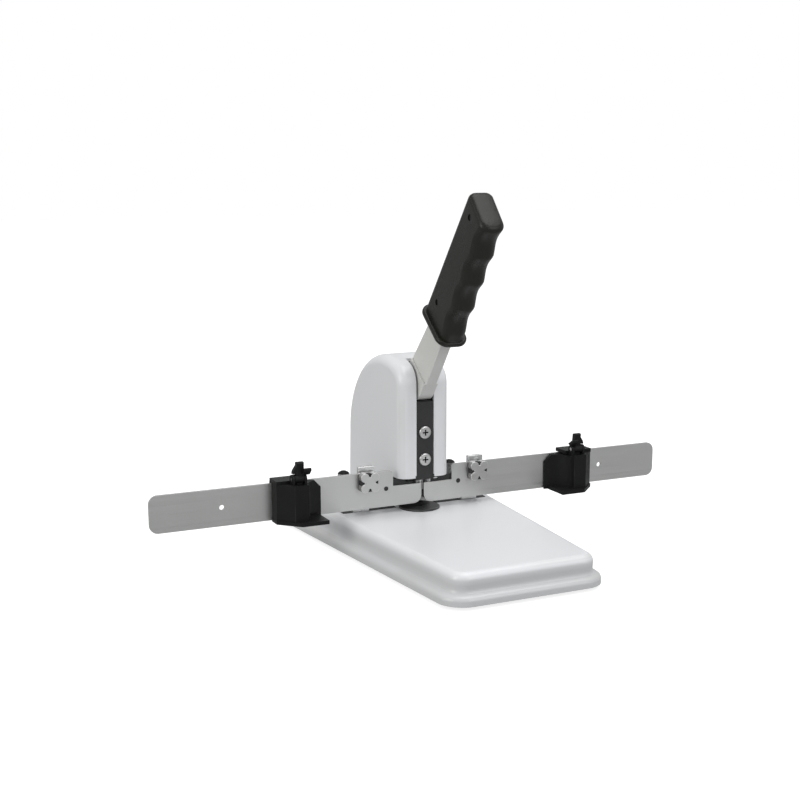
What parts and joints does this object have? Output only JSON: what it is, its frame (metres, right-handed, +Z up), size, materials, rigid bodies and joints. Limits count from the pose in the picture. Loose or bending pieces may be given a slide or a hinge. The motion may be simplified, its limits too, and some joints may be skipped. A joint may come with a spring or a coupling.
{
  "type": "single hole punch",
  "caption": "Desk lever punch: white tapered base, domed column, long leaning lever with black grip, steel fence with sliding black stops.",
  "frame": {"origin": "on the desk, under the middle of the object's box", "axes": "+Z up, +X along the fence to the user's right, the user stands at -Y"},
  "size_m": [0.46, 0.3, 0.2871],
  "materials": {
    "white_paint": "satin white paint",
    "black_metal": "black oxide, satin",
    "black_plastic": "moulded, fine grain",
    "grip_plastic": "moulded, fine grain",
    "rubber": "matt",
    "rail_steel": "brushed along the rail",
    "bright_steel": "plated, bright",
    "frame_steel": "dark phosphated",
    "lever_paint": "satin grey paint",
    "bronze": "turned"
  },
  "bodies": {
    "base": {"base_casting": "white_paint", "bottom_plate": "frame_steel", "rubber_feet": "rubber", "feet_screws": "bright_steel", "die_disc": "black_metal", "die_bush": "bright_steel", "column_cover": "white_paint", "cover_screws": "bright_steel", "side_plate_left": "frame_steel", "side_plate_right": "frame_steel", "rear_block": "frame_steel", "frame_bolts": "bright_steel", "frame_pins": "bright_steel", "spring_block": "frame_steel", "pivot_pin": "bright_steel", "pivot_clips": "black_metal", "return_spring": "bright_steel", "fence_left": "rail_steel", "fence_right": "rail_steel", "fence_strip": "black_metal", "strip_rivets": "black_metal", "bracket_left": "bright_steel", "bracket_right": "bright_steel"},
    "lever": {"lever_cam": "lever_paint", "pivot_bush": "bronze", "lever_arm": "lever_paint", "lever_rivets": "lever_paint", "grip": "grip_plastic", "grip_cap": "grip_plastic", "grip_screws": "black_metal"},
    "ram": {"ram": "black_metal", "ram_bar": "black_metal", "ram_bar_screws": "bright_steel", "punch_pin": "bright_steel", "punch_set_screw": "bright_steel"},
    "stop_left": {"stop_left": "black_plastic", "stop_pin_left": "bright_steel", "stop_shoe_left": "bronze"},
    "stop_right": {"stop_right": "black_plastic", "stop_pin_right": "bright_steel", "stop_shoe_right": "bronze"},
    "thumb_lever_left": {"thumb_lever_left": "black_plastic"},
    "thumb_lever_right": {"thumb_lever_right": "black_plastic"},
    "fence_knob_left": {"fence_knob_left": "bright_steel"},
    "fence_knob_right": {"fence_knob_right": "bright_steel"},
    "post_left": {"post_left": "bright_steel", "post_cap_left": "black_plastic"},
    "post_right": {"post_right": "bright_steel", "post_cap_right": "black_plastic"},
    "chip_drawer": {"chip_drawer": "black_plastic"}
  },
  "joints": [
    {"name": "lever_hinge", "type": "hinge", "parent": "base", "child": "lever", "pos_m": [0, 0.0495, 0.125], "axis": [1, 0, 0], "range_deg": [0, 40]},
    {"name": "ram_slide", "type": "slide", "parent": "base", "child": "ram", "axis": [0, 0, -1], "range_m": [0, 0.0112], "stiffness_N_per_m": 1500, "springref_m": -0.012, "deforming": ["return_spring"]},
    {"name": "stop_left_slide", "type": "slide", "parent": "base", "child": "stop_left", "axis": [1, 0, 0], "range_m": [-0.095, 0.03]},
    {"name": "stop_right_slide", "type": "slide", "parent": "base", "child": "stop_right", "axis": [1, 0, 0], "range_m": [-0.055, 0.07]},
    {"name": "thumb_lever_left_hinge", "type": "hinge", "parent": "stop_left", "child": "thumb_lever_left", "pos_m": [-0.1149, 0.016, 0.067], "axis": [-1, 0, 0], "range_deg": [0, 25]},
    {"name": "thumb_lever_right_hinge", "type": "hinge", "parent": "stop_right", "child": "thumb_lever_right", "pos_m": [0.1397, 0.016, 0.067], "axis": [-1, 0, 0], "range_deg": [0, 25]},
    {"name": "fence_knob_left_turn", "type": "hinge", "parent": "base", "child": "fence_knob_left", "pos_m": [-0.05, 0.03, 0.0547], "axis": [0, -1, 0], "continuous": true},
    {"name": "fence_knob_right_turn", "type": "hinge", "parent": "base", "child": "fence_knob_right", "pos_m": [0.05, 0.03, 0.0547], "axis": [0, -1, 0], "continuous": true},
    {"name": "post_left_turn", "type": "hinge", "parent": "base", "child": "post_left", "pos_m": [-0.05, 0.081, 0.04], "axis": [0, 0, 1], "continuous": true},
    {"name": "post_right_turn", "type": "hinge", "parent": "base", "child": "post_right", "pos_m": [0.05, 0.081, 0.04], "axis": [0, 0, 1], "continuous": true},
    {"name": "drawer_slide", "type": "slide", "parent": "base", "child": "chip_drawer", "axis": [0, 1, 0], "range_m": [0, 0.09]}
  ],
  "couplings": [
    {"joint": "ram_slide", "follows": "lever_hinge", "m_per_rad": 0.016}
  ]
}
